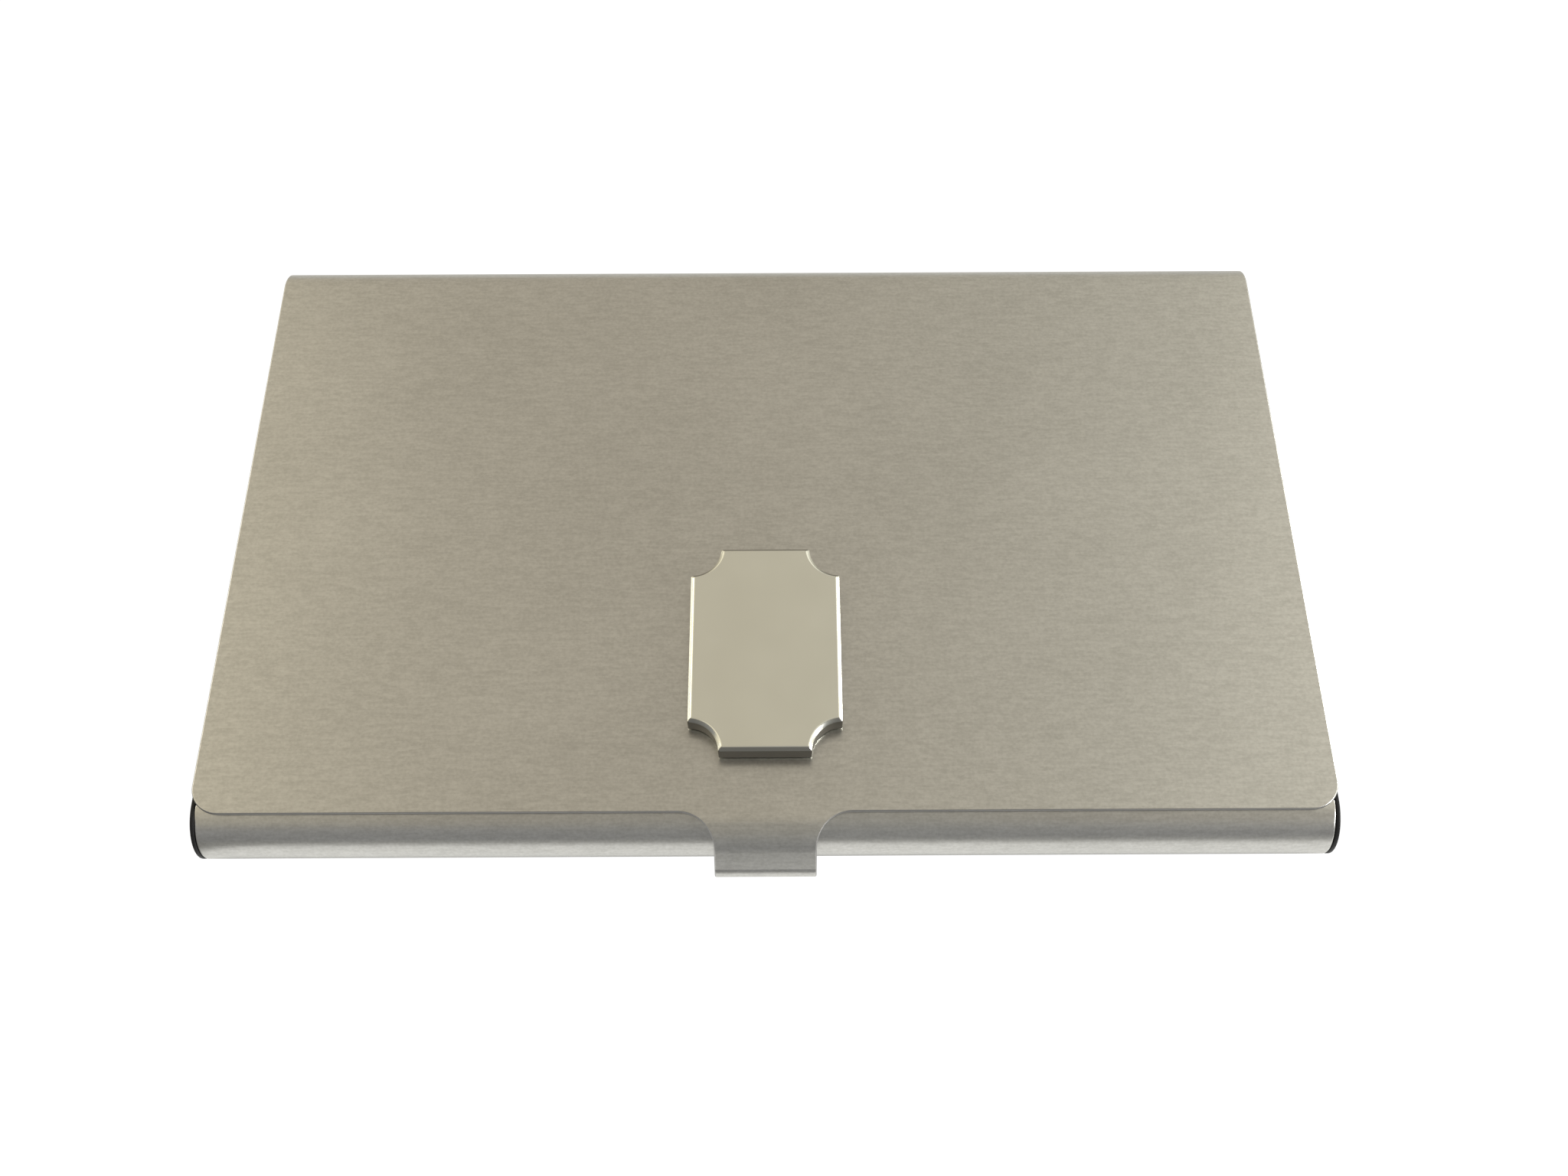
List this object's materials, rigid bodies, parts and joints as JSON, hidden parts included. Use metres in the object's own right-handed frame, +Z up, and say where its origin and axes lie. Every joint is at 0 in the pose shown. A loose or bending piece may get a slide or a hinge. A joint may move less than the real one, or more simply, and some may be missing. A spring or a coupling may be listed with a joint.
{
  "type": "business card case",
  "caption": "Slim rolled-edge steel card case: a hinged flat lid with a front lift tab and a blank plaque closes over a shallow tray with moulded end caps.",
  "frame": {"origin": "centre of the flat underside, midway between the front of the front roll and the back of the rear roll", "axes": "+X along the width to the viewer's right, +Y from the lift tab to the hinge, +Z up through the lid"},
  "size_m": [0.095, 0.0619, 0.0094],
  "materials": {
    "case_steel": "satin brushed stainless sheet, brushed along the width",
    "cap_plastic": "black moulded plastic",
    "pin_steel": "drawn steel wire",
    "plaque_metal": "silver-tone casting, polished, softened edges",
    "adhesive": "clear amber glue line"
  },
  "bodies": {
    "base": {"base_shell": "case_steel", "left_end_cap": "cap_plastic", "right_end_cap": "cap_plastic"},
    "lid": {"lid_shell": "case_steel", "left_hinge_plug": "cap_plastic", "right_hinge_plug": "cap_plastic", "left_hinge_pin": "pin_steel", "right_hinge_pin": "pin_steel", "plaque": "plaque_metal", "plaque_adhesive": "adhesive"}
  },
  "joints": [
    {"name": "lid_hinge", "type": "hinge", "parent": "base", "child": "lid", "pos_m": [0, 0.02658, 0.00398], "axis": [-1, 0, 0], "range_deg": [0, 100]}
  ]
}
